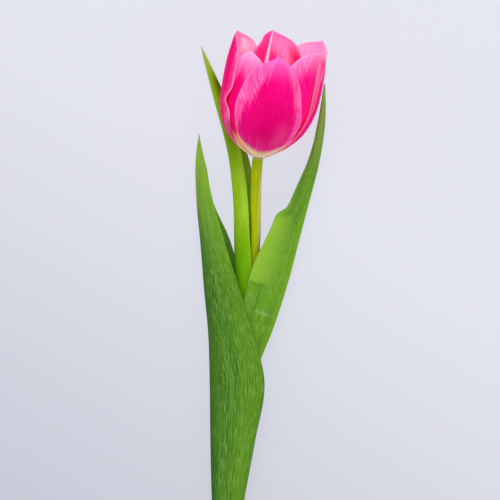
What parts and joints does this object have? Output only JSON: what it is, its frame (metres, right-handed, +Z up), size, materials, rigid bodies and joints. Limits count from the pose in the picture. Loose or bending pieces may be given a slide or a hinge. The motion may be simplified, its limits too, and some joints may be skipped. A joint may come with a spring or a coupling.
{
  "type": "cut tulip",
  "caption": "Single cut tulip lying on its side: a cup of pink petals on a green stem with folded clasping leaves.",
  "frame": {"origin": "middle of the footprint, on the surface that the flower lies on", "axes": "+Z up from that surface, +Y along the stem towards the flower, +X to the flower's right as seen from above"},
  "size_m": [0.0654, 0.3022, 0.048],
  "materials": {
    "outer_petal": "satin, hot pink with paler margins and a cream base",
    "inner_petal": "satin, lighter pink with a pale midrib",
    "leaf": "waxy green with fine lengthwise veins and a bluish bloom",
    "stem": "smooth yellow-green",
    "filament": "smooth, pale yellow",
    "anther": "matt, dusty, dark purple",
    "pistil": "smooth pale green with a cream stigma"
  },
  "bodies": {
    "root": {"stem": "stem", "tepal_outer_front": "outer_petal", "tepal_outer_left": "outer_petal", "tepal_outer_right": "outer_petal", "tepal_inner_right": "inner_petal", "tepal_inner_left": "inner_petal", "tepal_inner_back": "inner_petal", "leaf_lower": "leaf", "leaf_right": "leaf", "leaf_upper": "leaf", "pistil": "pistil", "filament_1": "filament", "filament_2": "filament", "filament_3": "filament", "filament_4": "filament", "filament_5": "filament", "filament_6": "filament", "anther_1": "anther", "anther_2": "anther", "anther_3": "anther", "anther_4": "anther", "anther_5": "anther", "anther_6": "anther"}
  },
  "joints": []
}
